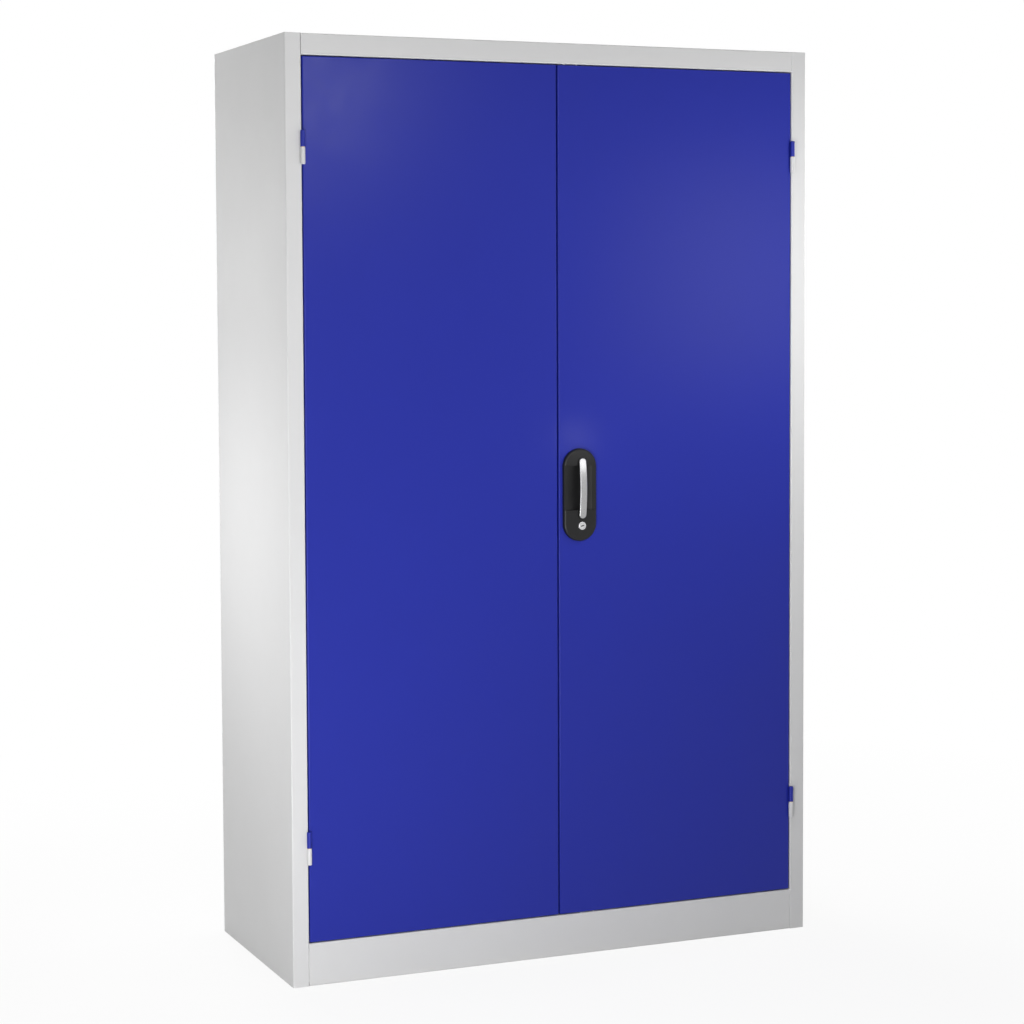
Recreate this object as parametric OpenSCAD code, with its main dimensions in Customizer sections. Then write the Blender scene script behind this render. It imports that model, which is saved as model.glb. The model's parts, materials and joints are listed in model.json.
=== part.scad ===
// Two-door steel tool cabinet with slotted uprights, four shelves and a rack-driven two-rod lock.
// X runs to the right, Y to the back and Z up. The origin is at the middle of the base of the box.

/* [Cabinet] */
// Width over the side panels
body_w = 1200; // [1000:1:1400]
// Height from floor to top
body_h = 1950; // [1700:1:2200]
// Depth of the body, front flange to back panel
body_d = 500; // [400:1:600]
// Steel sheet of the body
sheet = 1.2; // [0.8:0.1:1.5]
// Inside radius of every bend
bend_r = 1.5; // [1:0.1:2]
// Width of the front flange of each side panel
flange_w = 35; // [30:1:45]
// Height of the header above the doors
header_h = 44; // [36:1:60]
// Height of the plinth below the doors
plinth_h = 89; // [70:1:120]
// Depth of the rebate that the doors close into
rebate_d = 30.5; // [30.5:0.5:34]
// Width of the stop lip behind the doors
stop_lip = 15; // [12:1:18]
// Height of the floor above the plinth return
floor_step = 21; // [16:1:30]
// Width of the folded flanges at the rear and underneath
rear_flange = 40; // [25:1:50]
// Fold at the top of the walls and round the floor
edge_fold = 15; // [10:1:20]
// Return of the header on top and of the plinth underneath
front_return = 25; // [20:1:28]
// Radius of the wall anchor holes
anchor_r = 5; // [4:0.5:7]
// Distance between the wall anchor holes
anchor_spacing = 900; // [600:10:980]
// Wall anchor holes below the top
anchor_drop = 200; // [100:10:400]

/* [Doors] */
// Steel sheet of the doors
door_sheet = 1.2; // [1:0.1:1.5]
// Depth of a door
door_d = 28; // [26:0.5:28]
// Gap between a door and the frame
door_gap = 2; // [1.9:0.1:2.4]
// Gap between the two doors
centre_gap = 3; // [2.5:0.1:4]
// Width of the folded lip round the back of a door
door_lip = 15; // [10:1:15]
// Rounding of a door's corners, seen from the front
door_corner = 3; // [2.5:0.5:4]
// Width across the top of a door's stiffening channel
channel_w = 40; // [30:1:60]
// Depth of a door's stiffening channel
channel_d = 18; // [12:1:22]

/* [Hinges] */
// Outer radius of a hinge knuckle
knuckle_r = 5; // [4.7:0.1:5.1]
// Length of a hinge knuckle
knuckle_len = 34; // [25:1:45]
// Radius of the hinge pin
pin_r = 3; // [2.5:0.1:3.2]
// Distance of the hinge axis in front of the doors
hinge_out = 5.4; // [5.3:0.1:6.5]
// Distance of the hinge axis inside the frame's opening
hinge_in = 0.5; // [0.3:0.1:0.8]
// Thickness of a hinge leaf
leaf_t = 1.5; // [1:0.1:1.6]
// How far a leaf runs into the gap
leaf_d = 24; // [18:1:26]
// Upper hinge's joint below the top of the cabinet
upper_hinge_drop = 230; // [150:1:300]
// Lower hinge's joint above the floor
lower_hinge_rise = 288; // [200:1:340]
// Thickness of the washer between two knuckles
washer_t = 1; // [0.8:0.1:1.5]

/* [Shelves] */
// Steel sheet of the shelves
shelf_sheet = 0.9; // [0.7:0.1:1.2]
// Depth of a shelf's folded edge
shelf_fold = 25; // [20:1:35]
// Return under a shelf's folded edge
shelf_return = 12; // [8:1:16]
// Pitch of the slots in the uprights
slot_pitch = 50; // [25:5:75]
// Slots from one shelf to the next
shelf_step = 7; // [6:1:7]
// Width of an upright
upright_w = 30; // [25:1:40]
// How far an upright stands off the wall
upright_d = 20; // [16:1:26]
// Distance of an upright from the front and the back
upright_inset = 60; // [50:1:90]

/* [Handle] */
// Handle's centreline from the middle of the cabinet
handle_x = 51; // [50:1:70]
// Height of the lever's pivot
pivot_z = 1065.5; // [960:0.5:1150]
// Width of the moulded shell
shell_w = 76.5; // [72:0.5:80]
// Shell's middle to the left of the lever
shell_left = 3; // [1:0.5:4]
// Shell's top above the pivot
shell_up = 28; // [28:0.5:32]
// Shell's bottom below the lock cylinder's centre
shell_down = 33; // [31:0.5:37]
// Height of the shell's rim off the door
rim_h = 7.5; // [7.5:0.5:9]
// How far the cap and the pad stand above the rim
cap_rise = 2.5; // [1.5:0.1:3]
// Wall of the moulded shell
shell_wall = 2.2; // [1.8:0.1:2.5]
// Rounding of the shell's edge
shell_round = 5.5; // [4:0.5:6]
// Top of the finger recess below the pivot
recess_top = 8; // [6:0.5:12]
// Bottom of the finger recess above the centre of the lever's lower end
recess_bottom = 10; // [6:0.5:14]
// Width of the finger recess
recess_w = 60; // [54:1:62]
// Finger recess's middle to the left of the lever
recess_left = 5.5; // [4:0.5:6]
// Depth of the finger recess below the rim
recess_d = 5.5; // [4:0.5:6]
// Length of the lever between the centres of its round ends
lever_len = 113.5; // [108:0.5:118]
// Width of the lever
lever_w = 16; // [14:0.5:18]
// Thickness of the lever
lever_t = 4.5; // [4:0.1:5]
// How far the lever bows outward
lever_bow = 6; // [3:0.5:9]
// Air between the lever's ends and the cap
lever_gap = 0.5; // [0.4:0.1:1]
// Radius of the spindle
spindle_r = 5; // [4:0.1:5.5]

/* [Lock] */
// Module of the pinion and racks
gear_module = 1.5; // [1.4:0.1:1.6]
// Teeth of the pinion
pinion_teeth = 16; // [16:4:20]
// Thickness of the racks and the pinion
rack_t = 8; // [6:0.5:8]
// Width of a rack behind its teeth
rack_back = 8; // [8:0.5:9]
// Radius of a lock rod
rod_r = 4; // [3:0.1:4]
// Air between a rod's end and its keeper
rod_short = 1; // [0.8:0.1:1.2]
// Steel of the lock case
case_t = 1.5; // [1:0.1:2]
// Lock cylinder's centre below the centre of the lever's lower end
lock_drop = 23.5; // [20:0.5:28]
// Radius of the cylinder's face
lock_face_r = 8.75; // [8.6:0.05:9.2]
// Radius of the cylinder's threaded body
lock_body_r = 8; // [7:0.1:8.3]
// Radius of the turning plug
plug_r = 6; // [5:0.1:6.2]

/* [Hidden] */
$fn = 48;

// Fits and small gaps
seam = 0.1;         // air at an edge where two fixed sheets end
fit = 0.05;         // radial play of a pin or shaft in its hole
loose = 0.5;        // play of a rod or screw in a plain hole
cut = 1;            // how far a cut runs past the face that it opens
bend_steps = 6;     // flats round a bend

// Body
half_w = body_w / 2;
wall_in = half_w - sheet;             // inner face of a side wall
frame_x = half_w - flange_w;          // edge of the opening between the side flanges
head_z = body_h - header_h;           // underside of the header
floor_z = plinth_h + floor_step;      // top of the floor
back_in = body_d - 2 * sheet;         // inner face of the back panel
stop_y = rebate_d + sheet;            // back of the stop lips
lever_front = rim_h + cap_rise + lever_gap + lever_t + lever_bow;
front_y = (lever_front - body_d) / 2; // places the front so that the origin is centred in the depth

// Doors
door_x = frame_x - door_gap;          // hinge edge of a door
door_w = door_x - centre_gap / 2;
door_z = plinth_h + door_gap;
door_top = head_z - door_gap;
door_h = door_top - door_z;
channel_flange = 15;
channel_t = 1;
channel_inset = 10;                   // a channel ends this far from the door's lips
buffer_r = 6;
buffer_gap = 0.3;
buffer_x = 40;                        // the middle buffers on each side of the centre
buffer_heights = [0.3, 0.7];          // the side buffers, as shares of the body's height

// Hinges
hinge_x = frame_x - hinge_in;
upper_hinge_z = body_h - upper_hinge_drop;
lower_hinge_z = lower_hinge_rise;
knuckle_round = 2;
pin_end = 4;                          // a pin stops this far inside each knuckle's end
pin_air = 1.5;                        // air beyond the pin's end in its blind bore
washer_r = knuckle_r - 0.5;

// Shelves and uprights
upright_x = wall_in - upright_d;      // inner face of an upright
upright_t = 1.2;
slot_l = 14;
slot_h = 4;
clip_t = 1.5;
clip_w = 13;
clip_up = 16;
clip_down = 4;
clip_ledge = 11;
clip_tab = 3.4;
slot_first = floor_z + slot_pitch / 2;
slot_count = floor((head_z - slot_first - slot_pitch / 2) / slot_pitch) + 1;
shelf_hang = shelf_fold - 5;          // the shelf's side fold is shorter than its front fold
shelf_half = upright_x - clip_t - loose;
shelf_front = stop_y + 8;
shelf_back = back_in - sheet - 3;
shelf_count = 4;
stiff_w = 50;
stiff_d = 14;
stiff_inset = 20;                     // a stiffener ends this far inside its shelf
front_upright_y = upright_inset;
rear_upright_y = back_in - upright_inset - upright_w / 3;

// Handle and lock
cap_h = rim_h + cap_rise;
lever_low = pivot_z - lever_len;              // centre of the lever's lower end
lock_z = lever_low - lock_drop;
shell_z = lock_z - shell_down;                // bottom of the shell
shell_h = pivot_z + shell_up - shell_z;
recess_z = lever_low + recess_bottom;
recess_h = lever_len - recess_top - recess_bottom;
pitch_r = gear_module * pinion_teeth / 2;
tooth_add = 0.8 * gear_module;
tooth_ded = gear_module;
root_gap = 0.2;                               // the pinion's root lies this far below the racks' tips
tooth_play = 0.15;
tooth_pitch = PI * gear_module;
pressure = 20;
flank_steps = 4;
rod_stroke = pitch_r * PI / 2;
rack_gap = 0.6;                               // air round the racks, which clears the case's bends
rod_off = pitch_r + tooth_ded + rack_back / 2;
rod_tip = 3;                                  // length of a rod's tapered tip
notch_d = 2.5;                                // depth of the lower rod's notch
case_half = pitch_r + tooth_ded + rack_back + rack_gap;
case_lip = 9;
mesh_half = 11;                               // half the height over which the teeth mesh
case_h = 2 * (rod_stroke + mesh_half + 5);
mech_y = door_sheet + case_t + rack_gap + rack_t / 2;
cover_y = mech_y + rack_t / 2 + rack_gap;
cover_t = 1.5;
cover_hole_z = 8;                             // the cover's screws lie this far inside its ends
window_w = 12;
ring_t = 1.5;
ring_out = 2.5;                               // the ring stands this far out of the spindle
ring_y = cover_y + cover_t + 0.3;
groove_d = 1;
spindle_end = ring_y + ring_t + 1.2;
socket_d = 2.5;                               // depth of the spindle's seat in the lever
screw_r = 2.5;
screw_head_r = 4.5;
screw_head_h = 3;
screw_seat = 4;                               // the moulded holes end this far below the shell's front
socket_r = 1.75;                              // half the width over the corners of a hexagon socket
upper_screw_z = pivot_z + 20;
lower_screw_z = shell_z + 12;
cover_screw_r = 1.5;
cover_head_r = 2.8;
cover_head_h = 1.4;
nut_t = 3;
nut_r = 11.5;
barrel_end = door_sheet + nut_t + 0.4;
barrel_face = 2.6;                            // the cylinder's face stands this far out of the pad
plug_sunk = 0.2;                              // the plug lies this far below the cylinder's face
plug_neck_r = 3;
key_slot_w = 1.6;
key_slot_l = 8;
key_slot_d = 9;
key_slot_tilt = 15;
cam_t = 2.5;
cam_w = 8;
cam_r = 5.5;
cam_y = barrel_end + 0.3;
cam_screw_r = 1.5;
cam_screw_l = 3.5;
cam_head_r = 4;
cam_head_h = 2;
slot_depth = 0.8;
guide_w = 20;
guide_t = 1.5;
guide_inset = 60;                             // the outer guides lie this far inside the door's ends
keeper_l = 44;
keeper_w = 13.5;
keeper_t = 2.5;
keeper_screw_r = 2;
keeper_screw_off = 15;
keeper_screw_out = 2;
keeper_head_r = 3.5;
keeper_head_h = 1;

// Section helpers
function unit(v) = v / norm(v);
function left_of(v) = [-v[1], v[0]];
function turned(v, a) = [v[0] * cos(a) - v[1] * sin(a), v[0] * sin(a) + v[1] * cos(a)];

// Points round one bend, on the drawn face of the sheet (other = 0) or on its other face (other = 1)
function bend(p0, p, p1, t, other) =
    let (d = unit(p - p0), e = unit(p1 - p), s = sign(d[0] * e[1] - d[1] * e[0]),
        turn = acos(d * e), reach = s > 0 ? bend_r + t : bend_r, n = s * left_of(d),
        centre = p - d * reach * tan(turn / 2) + n * reach, far = reach - s * t * other)
    [for (k = [0:bend_steps]) centre + far * turned(-n, s * turn * k / bend_steps)];
function face_line(pts, t, other) =
    let (n = len(pts), d0 = unit(pts[1] - pts[0]), d1 = unit(pts[n - 1] - pts[n - 2]))
    concat([pts[0] + other * t * left_of(d0)],
        [for (i = [1:n - 2]) each bend(pts[i - 1], pts[i], pts[i + 1], t, other)],
        [pts[n - 1] + other * t * left_of(d1)]);
function backwards(v) = [for (i = [len(v) - 1:-1:0]) v[i]];

// Section of a folded sheet whose material lies to the left of the drawn line
module folded(pts, t) {
    polygon(concat(face_line(pts, t, 0), backwards(face_line(pts, t, 1))));
}

// Extrudes a section drawn in (Y, Z) along X, from x0 to x1
module along_x(x0, x1) {
    translate([x0, 0, 0]) rotate([90, 0, 90]) linear_extrude(x1 - x0) children();
}

// Extrudes a section drawn in (X, Z) along Y, from y0 to y1
module along_y(y0, y1) {
    translate([0, y1, 0]) rotate([90, 0, 0]) linear_extrude(y1 - y0) children();
}

// A round bar along Y
module bar_y(r, y0, y1) {
    translate([0, y1, 0]) rotate([90, 0, 0]) cylinder(r = r, h = y1 - y0);
}

module box(x0, x1, y0, y1, z0, z1) {
    translate([x0, y0, z0]) cube([x1 - x0, y1 - y0, z1 - z0]);
}

// Moves a piece from the front plane to the part's own frame
module placed() {
    translate([0, front_y, 0]) children();
}

// Mirrors a left piece to the right
module on_side(side) {
    mirror([side > 0 ? 1 : 0, 0, 0]) children();
}

// Body panels

// Wall with its front flange, rebate, stop lip, rear flange, foot and top fold
module side_panel() {
    lip_x = -frame_x + stop_lip + cut;
    lip_y = rebate_d - bend_r - cut;
    color("gainsboro") placed() difference() {
        union() {
            linear_extrude(body_h) folded([[-half_w + rear_flange, body_d], [-half_w, body_d],
                [-half_w, 0], [-frame_x, 0], [-frame_x, rebate_d], [-frame_x + stop_lip, rebate_d]],
                sheet);
            for (f = [[rear_flange, 0], [edge_fold, body_h - 2 * sheet - seam]]) {
                box(-wall_in - sheet / 2, -half_w + f[0], stop_y + bend_r, back_in - bend_r, f[1], f[1] + sheet);
            }
        }
        // the lip ends at the header's lip and at the floor
        box(-frame_x, lip_x, lip_y, stop_y + cut, head_z - stop_lip - seam, body_h + cut);
        box(-frame_x, lip_x, lip_y, stop_y + cut, -cut, floor_z + seam);
        // room for the top sheet over the flange
        box(-wall_in, lip_x, sheet + seam / 2, stop_y + cut, body_h - sheet - seam, body_h + cut);
    }
}

module left_side_panel() {
    side_panel();
}

module right_side_panel() {
    on_side(1) side_panel();
}

// Flat back, spot-welded to the inside of the walls' rear flanges
module back_panel() {
    x = wall_in - bend_r - seam;
    color("gainsboro") placed() difference() {
        box(-x, x, back_in, back_in + sheet, sheet + seam, body_h - sheet - seam);
        for (s = [-1, 1]) {
            translate([s * anchor_spacing / 2, 0, body_h - anchor_drop])
                bar_y(anchor_r, back_in - cut, back_in + sheet + cut);
        }
    }
}

// Flat sheet between the walls, cut out at the front for the header's return
module top_panel() {
    x = wall_in - seam;
    y0 = sheet + seam;
    y1 = back_in + sheet - seam;
    color("gainsboro") placed() translate([0, 0, body_h - sheet]) linear_extrude(sheet) difference() {
        translate([-x, y0]) square([2 * x, y1 - y0]);
        translate([-frame_x - seam, 0]) square([2 * (frame_x + seam), front_return + seam]);
        // corner reliefs at the bends of the walls
        for (s = [-1, 1]) translate([s * x, y1]) square(2 * bend_r + 2 * seam, center = true);
    }
}

// Holes for a lock rod and for its keeper's screws, through a sheet whose lower face is at z
module keeper_holes(side, z) {
    translate([rod_x(side), mech_y, z - cut]) {
        cylinder(r = rod_r + 2 * loose, h = sheet + 2 * cut);
        for (s = [-1, 1]) translate([s * keeper_screw_off, 0, 0]) cylinder(r = keeper_screw_r + fit, h = sheet + 2 * cut);
    }
}

// Folded front rail above the doors, with its stop lip
module header() {
    color("gainsboro") placed() difference() {
        along_x(-frame_x, frame_x) folded([[front_return, body_h], [0, body_h], [0, head_z],
            [rebate_d, head_z], [rebate_d, head_z - stop_lip]], sheet);
        keeper_holes(-1, head_z);
    }
}

// Floor with the plinth folded down at its front
module floor_panel() {
    color("gainsboro") placed() difference() {
        union() {
            along_x(-frame_x, frame_x) folded([[back_in - seam, floor_z - edge_fold], [back_in - seam, floor_z],
                [rebate_d, floor_z], [rebate_d, plinth_h], [0, plinth_h], [0, 0], [front_return, 0]], sheet);
            for (s = [0, 1]) mirror([s, 0, 0]) {
                box(-wall_in + seam, -frame_x + cut, stop_y + cut, back_in - 2 * bend_r, floor_z - sheet, floor_z);
                box(-wall_in + seam, -wall_in + seam + sheet, stop_y + cut, back_in - 2 * bend_r,
                    floor_z - edge_fold, floor_z - sheet / 2);
            }
        }
        keeper_holes(1, plinth_h - sheet);
    }
}

// Slotted channel welded to the left wall
module upright(y0) {
    color("lightgray") placed() difference() {
        translate([0, 0, floor_z]) linear_extrude(head_z - stop_lip - floor_z)
            folded([[-wall_in, y0], [-upright_x, y0], [-upright_x, y0 + upright_w],
                [-wall_in, y0 + upright_w]], upright_t);
        for (i = [0:slot_count - 1]) {
            translate([0, 0, slot_first + i * slot_pitch])
                box(-upright_x - upright_t - cut, -upright_x + cut, y0 + (upright_w - slot_l) / 2,
                    y0 + (upright_w + slot_l) / 2, -slot_h / 2, slot_h / 2);
        }
    }
}

module front_left_upright() {
    upright(front_upright_y);
}

module front_right_upright() {
    on_side(1) upright(front_upright_y);
}

module rear_left_upright() {
    upright(rear_upright_y);
}

module rear_right_upright() {
    on_side(1) upright(rear_upright_y);
}

// Top face of shelf n, counted from the bottom
function shelf_z(n) = slot_first + n * shelf_step * slot_pitch + slot_h / 2 + shelf_hang;

// Galvanised shelf folded down on four sides
module shelf(n) {
    z = shelf_z(n);
    color("silver") placed() {
        along_x(-shelf_half, shelf_half) folded([[shelf_back - shelf_return, z - shelf_fold],
            [shelf_back, z - shelf_fold], [shelf_back, z], [shelf_front, z],
            [shelf_front, z - shelf_fold], [shelf_front + shelf_return, z - shelf_fold]], shelf_sheet);
        for (s = [0, 1]) mirror([s, 0, 0]) {
            box(-shelf_half, -shelf_half + shelf_sheet, shelf_front + shelf_sheet + bend_r,
                shelf_back - shelf_sheet - bend_r, z - shelf_hang, z - shelf_sheet / 2);
        }
    }
}

// A shallow channel under the middle of each shelf
module shelf_stiffeners() {
    y0 = (shelf_front + shelf_back) / 2;
    x = shelf_half - stiff_inset;
    color("silver") placed() for (n = [1:shelf_count]) {
        z = shelf_z(n) - shelf_sheet;
        along_x(-x, x) folded([[y0 + stiff_w, z], [y0 + stiff_w / 2, z],
            [y0 + stiff_w / 2, z - stiff_d], [y0 - stiff_w / 2, z - stiff_d], [y0 - stiff_w / 2, z],
            [y0 - stiff_w, z]], shelf_sheet);
    }
}

// Bracket that hooks into a slot and carries a corner of a shelf
module shelf_clip(y0) {
    inner = -upright_x + clip_t;
    along_y(y0 - clip_w / 2, y0 + clip_w / 2) {
        translate([-upright_x, -slot_h / 2 - clip_down]) square([clip_t, clip_down + slot_h / 2 + clip_up]);
        translate([inner - clip_t / 2, slot_h / 2 - clip_t]) square([clip_t / 2 + clip_ledge, clip_t]);
        translate([-upright_x - clip_tab, -slot_h / 2 + 2 * seam]) square([clip_tab + clip_t / 2, slot_h - 6 * seam]);
    }
}

module shelf_clips() {
    color("silver") placed() for (n = [1:shelf_count], s = [0, 1], y0 = [front_upright_y, rear_upright_y]) {
        mirror([s, 0, 0]) translate([0, 0, slot_first + n * shelf_step * slot_pitch])
            shelf_clip(y0 + upright_w / 2);
    }
}

// Hinges

// Knuckle with one rounded end, at z = 0 to its length, bored for the pin
module knuckle(up) {
    mirror([0, 0, up ? 0 : 1]) rotate_extrude() difference() {
        union() {
            square([knuckle_r, knuckle_len - knuckle_round]);
            square([knuckle_r - knuckle_round, knuckle_len]);
            translate([knuckle_r - knuckle_round, knuckle_len - knuckle_round]) circle(r = knuckle_round);
        }
        translate([-cut, -cut]) square([cut + pin_r + fit, cut + knuckle_len - pin_end + pin_air - fit]);
        translate([-knuckle_r, -cut]) square([knuckle_r, knuckle_len + 2 * cut]);
    }
}

// Leaf that runs from a knuckle into the gap, in local X from x0
module leaf(x0, z0, z1) {
    difference() {
        box(x0, x0 + leaf_t, 0, hinge_out + leaf_d, z0, z1);
        translate([0, 0, z0 - cut]) cylinder(r = pin_r + loose, h = z1 - z0 + 2 * cut);
    }
}

module frame_hinge(z) {
    color("gainsboro") placed() translate([-hinge_x, -hinge_out, z]) {
        knuckle(false);
        leaf(-hinge_in, -knuckle_len + knuckle_round, 0);
    }
}

module door_hinge(z) {
    color("royalblue") placed() translate([-hinge_x, -hinge_out, z + washer_t + seam]) {
        knuckle(true);
        leaf(door_gap - leaf_t - hinge_in, 0, knuckle_len - knuckle_round);
    }
}

module upper_left_frame_hinge() {
    frame_hinge(upper_hinge_z);
}

module lower_left_frame_hinge() {
    frame_hinge(lower_hinge_z);
}

module upper_right_frame_hinge() {
    on_side(1) frame_hinge(upper_hinge_z);
}

module lower_right_frame_hinge() {
    on_side(1) frame_hinge(lower_hinge_z);
}

module upper_left_door_hinge() {
    door_hinge(upper_hinge_z);
}

module lower_left_door_hinge() {
    door_hinge(lower_hinge_z);
}

module upper_right_door_hinge() {
    on_side(1) door_hinge(upper_hinge_z);
}

module lower_right_door_hinge() {
    on_side(1) door_hinge(lower_hinge_z);
}

module hinge_pins() {
    color("dimgray") placed() for (s = [0, 1], z = [upper_hinge_z, lower_hinge_z]) mirror([s, 0, 0]) {
        translate([-hinge_x, -hinge_out, z - knuckle_len + pin_end])
            cylinder(r = pin_r, h = 2 * (knuckle_len - pin_end));
    }
}

module hinge_washers() {
    color("goldenrod") placed() for (s = [0, 1], z = [upper_hinge_z, lower_hinge_z]) mirror([s, 0, 0]) {
        translate([-hinge_x, -hinge_out, z]) difference() {
            cylinder(r = washer_r, h = washer_t);
            translate([0, 0, -cut]) cylinder(r = pin_r + fit, h = washer_t + 2 * cut);
        }
    }
}

// Rubber buffers on the stop lips
module door_buffer(x, z) {
    t = rebate_d - door_d - buffer_gap;
    translate([x, rebate_d, z]) rotate([90, 0, 0]) rotate_extrude() {
        square([buffer_r, t / 2]);
        square([buffer_r - t / 2, t]);
        intersection() {
            translate([buffer_r - t / 2, t / 2]) circle(r = t / 2);
            square([buffer_r, t]);
        }
    }
}

module door_buffers() {
    color("black") placed() for (s = [-1, 1]) {
        door_buffer(s * buffer_x, head_z - stop_lip / 2);
        door_buffer(s * buffer_x, plinth_h + floor_step / 2);
        for (share = buffer_heights) door_buffer(s * (frame_x - stop_lip / 2), share * body_h);
    }
}

// Doors

// Block whose four front edges are rounded by r, and whose four corners are rounded by corner
module tray_block(w, h, d, r, corner) {
    intersection() {
        linear_extrude(h) rounded_front(w, d, r);
        along_x(0, w) mirror([1, -1, 0]) rounded_front(h, d, r);
        along_y(0, d) rounded_plate(w, h, corner);
    }
}

module rounded_plate(w, h, r) {
    translate([r, 0]) square([w - 2 * r, h]);
    translate([0, r]) square([w, h - 2 * r]);
    for (x = [r, w - r], z = [r, h - r]) translate([x, z]) circle(r = r);
}

module rounded_front(w, d, r) {
    translate([0, r]) square([w, d - r]);
    translate([r, 0]) square([w - 2 * r, d]);
    for (x = [r, w - r]) translate([x, r]) circle(r = r);
}

// Folded door, from its lower hinge-side corner, with a lip round its back
module door_tray() {
    t = door_sheet;
    translate([-door_x, 0, door_z]) {
        difference() {
            tray_block(door_w, door_h, door_d, bend_r + t, door_corner);
            translate([t, t, t]) tray_block(door_w - 2 * t, door_h - 2 * t, door_d, bend_r, door_corner - t);
        }
        difference() {
            translate([t / 2, 0, t / 2]) along_y(door_d - t, door_d)
                rounded_plate(door_w - t, door_h - t, door_corner - t / 2);
            translate([door_lip, door_d - t - cut, door_lip])
                cube([door_w - 2 * door_lip, t + 2 * cut, door_h - 2 * door_lip]);
        }
    }
}

module left_door_panel() {
    color("royalblue") placed() door_tray();
}

// Holes through the right door's front for what the handle and the lock pass through it
module right_door_panel() {
    front_holes = [[pivot_z, spindle_r + 2 * loose], [lock_z, lock_body_r + fit],
        [upper_screw_z, screw_r + fit], [lower_screw_z, screw_r + fit]];
    color("royalblue") placed() difference() {
        on_side(1) door_tray();
        for (hole = front_holes) translate([handle_x, 0, hole[0]]) bar_y(hole[1], -cut, door_sheet + cut);
        for (end = [[-1, door_top - door_sheet], [1, door_z]]) {
            translate([rod_x(end[0]), mech_y, end[1] - cut]) cylinder(r = rod_r + loose, h = door_sheet + 2 * cut);
        }
    }
}

// Stiffening channel down the middle of a door
module door_channel() {
    x = -(door_x + centre_gap / 2) / 2;
    y = door_sheet;
    z = door_lip + channel_inset;
    color("royalblue") placed() translate([0, 0, door_z + z]) linear_extrude(door_h - 2 * z)
        folded([[x - channel_w / 2 - channel_flange, y], [x - channel_w / 2, y],
            [x - channel_w / 2, y + channel_d], [x + channel_w / 2, y + channel_d],
            [x + channel_w / 2, y], [x + channel_w / 2 + channel_flange, y]], channel_t);
}

module left_door_channel() {
    door_channel();
}

module right_door_channel() {
    on_side(1) door_channel();
}

// Handle shell

// X of a lock rod, left of the pivot for the upper one and right of it for the lower one
function rod_x(side) = handle_x + side * rod_off;

// Outline of the shell, w wide and h high, in (X, Z) about its middle
module stadium(w, h) {
    square([w, h - w], center = true);
    for (s = [-1, 1]) translate([0, s * (h - w) / 2]) circle(d = w);
}

// Half section of the shell: its outer wall with a rounded front edge
module rounded_edge() {
    half = shell_w / 2;
    square([half - shell_round, cap_h]);
    square([half, cap_h - shell_round]);
    translate([half - shell_round, cap_h - shell_round]) circle(r = shell_round);
}

// Solid form of the shell about its middle: a straight stretch between two half turns
module shell_form() {
    straight = shell_h - shell_w;
    for (s = [0, 1]) mirror([0, 0, s]) translate([0, 0, straight / 2]) rotate([90, 0, 0])
        rotate_extrude(angle = 180) intersection() {
            rounded_edge();
            square([shell_w, cap_h + 1]);
        }
    translate([0, 0, -straight / 2]) linear_extrude(straight) mirror([0, 1, 0]) {
        rounded_edge();
        mirror([1, 0, 0]) rounded_edge();
    }
}

// Trough of the finger recess, sunk below the rim and widened by grow
module recess_trough(grow) {
    r = (recess_w * recess_w / 4 + recess_d * recess_d) / (2 * recess_d);
    translate([-recess_left, -rim_h + recess_d - r, recess_z - grow])
        cylinder(r = r + grow, h = recess_h + 2 * grow, $fn = 96);
}

// Hollow behind the shell, less the bosses round the spindle, the cylinder and the two screws
module shell_hollow() {
    mid = shell_z + shell_h / 2;
    difference() {
        along_y(-rim_h + shell_wall, 1) difference() {
            translate([-shell_left, mid]) stadium(shell_w - 2 * shell_wall, shell_h - 2 * shell_wall);
            translate([0, pivot_z]) circle(r = spindle_r + shell_wall);
            translate([0, lock_z]) circle(r = lock_body_r + shell_wall);
            for (z = [upper_screw_z, lower_screw_z]) translate([0, z]) circle(r = screw_r + shell_wall);
        }
        recess_trough(shell_wall);
    }
}

module handle_shell() {
    color([0.09, 0.09, 0.1]) placed() translate([handle_x, 0, 0]) difference() {
        translate([-shell_left, 0, shell_z + shell_h / 2]) shell_form();
        box(-shell_w, shell_w, -cap_h - cut, -rim_h, recess_z, recess_z + recess_h);
        recess_trough(0);
        shell_hollow();
        translate([0, 0, pivot_z]) bar_y(spindle_r + fit, -cap_h - cut, cut);
        translate([0, 0, lock_z]) bar_y(lock_body_r + fit, -cap_h - cut, cut);
        for (z = [upper_screw_z, lower_screw_z]) translate([0, 0, z]) bar_y(screw_r + fit, -cap_h + screw_seat, cut);
    }
}

// Socket screws from inside the door into the shell's bosses
module handle_screws() {
    color("silver") placed() translate([handle_x, 0, 0]) {
        for (s = [[upper_screw_z, door_sheet + case_t], [lower_screw_z, door_sheet]]) translate([0, 0, s[0]]) {
            bar_y(screw_r, -cap_h + screw_seat + loose, s[1] + seam);
            difference() {
                bar_y(screw_head_r, s[1], s[1] + screw_head_h);
                bar_y(socket_r, s[1] + screw_head_h / 2, s[1] + screw_head_h + cut, $fn = 6);
            }
        }
    }
}

// Lock case, mechanism and rods

module lock_case() {
    y0 = door_sheet;
    out = case_half + case_t;
    color("silver") placed() translate([handle_x, 0, 0]) difference() {
        translate([0, 0, pivot_z - case_h / 2]) linear_extrude(case_h)
            folded([[-out - case_lip, cover_y - case_t], [-out, cover_y - case_t], [-out, y0], [out, y0],
                [out, cover_y - case_t], [out + case_lip, cover_y - case_t]], case_t);
        translate([0, 0, pivot_z]) bar_y(spindle_r + fit, 0, y0 + case_t + cut);
        translate([0, 0, upper_screw_z]) bar_y(screw_r + fit, 0, y0 + case_t + cut);
        cover_holes(cover_screw_r + fit, cover_y - case_t - cut, cover_y + cut);
    }
}

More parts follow.
